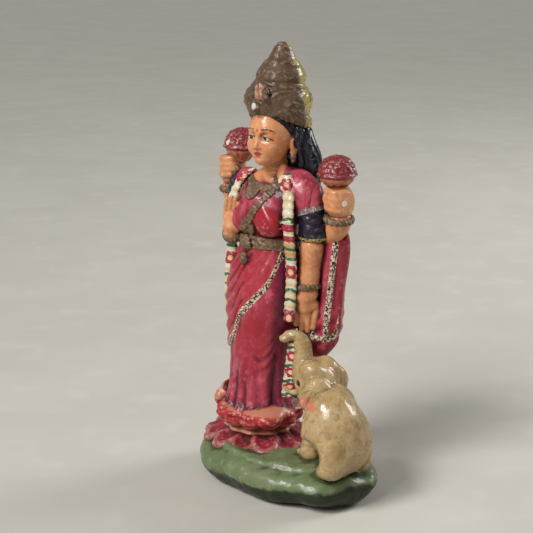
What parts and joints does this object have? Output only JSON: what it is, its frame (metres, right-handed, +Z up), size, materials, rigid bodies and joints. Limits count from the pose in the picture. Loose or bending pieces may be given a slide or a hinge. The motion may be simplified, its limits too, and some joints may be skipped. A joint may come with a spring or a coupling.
{
  "type": "figurine",
  "caption": "Painted clay figurine of a four-armed goddess standing on a lotus, with a seated elephant beside it on a green mound.",
  "frame": {"origin": "centre of the mound's flat underside", "axes": "+Z up, -Y towards the figure's front, +X towards the figure's left"},
  "size_m": [0.0819, 0.05, 0.16],
  "materials": {
    "green_paint": "gloss varnish over matt paint",
    "petal_red_paint": "worn gloss paint",
    "lotus_salmon_paint": "worn gloss paint",
    "elephant_cream_paint": "yellowed gloss varnish",
    "sari_red_paint": "worn gloss paint",
    "hair_black_paint": "gloss paint",
    "bud_red_paint": "gloss paint",
    "garland_paint": "gloss paint",
    "sleeve_navy_paint": "gloss paint",
    "bronze_paint": "dulled metallic paint",
    "skin_paint": "gloss varnish over paint"
  },
  "bodies": {
    "root": {"belt_buckle": "bronze_paint", "belt_pendant": "bronze_paint", "crown_band": "bronze_paint", "crown_crest": "bronze_paint", "crown_dome": "bronze_paint", "crown_finial": "bronze_paint", "crown_tier": "bronze_paint", "elephant_body": "elephant_cream_paint", "elephant_far_ear": "elephant_cream_paint", "elephant_far_front_leg": "elephant_cream_paint", "elephant_far_hind_leg": "elephant_cream_paint", "elephant_head": "elephant_cream_paint", "elephant_near_ear": "elephant_cream_paint", "elephant_near_front_leg": "elephant_cream_paint", "elephant_near_hind_leg": "elephant_cream_paint", "elephant_tail": "elephant_cream_paint", "elephant_trunk": "elephant_cream_paint", "front_left_bangle": "bronze_paint", "front_left_forearm": "skin_paint", "front_left_hand": "skin_paint", "front_left_sleeve": "sleeve_navy_paint", "front_right_bangle": "bronze_paint", "front_right_forearm": "skin_paint", "front_right_hand": "skin_paint", "front_right_sleeve": "sleeve_navy_paint", "garland_left": "garland_paint", "garland_right": "garland_paint", "garland_tail": "garland_paint", "ground_mound": "green_paint", "hair": "hair_black_paint", "head": "skin_paint", "left_earring": "bronze_paint", "left_lotus_bud": "bud_red_paint", "lotus_cup": "lotus_salmon_paint", "lotus_lower_petals": "petal_red_paint", "neck_pendant": "bronze_paint", "necklace": "bronze_paint", "rear_left_arm": "skin_paint", "rear_left_bangle": "bronze_paint", "rear_left_hand": "skin_paint", "rear_right_arm": "skin_paint", "rear_right_bangle": "bronze_paint", "rear_right_hand": "skin_paint", "right_earring": "bronze_paint", "right_lotus_bud": "bud_red_paint", "sari_pallu": "sari_red_paint", "sari_skirt": "sari_red_paint", "sash_clasp": "bronze_paint", "sash_left": "bronze_paint", "sash_right": "bronze_paint", "torso": "sari_red_paint", "waist_belt": "bronze_paint"}
  },
  "joints": []
}
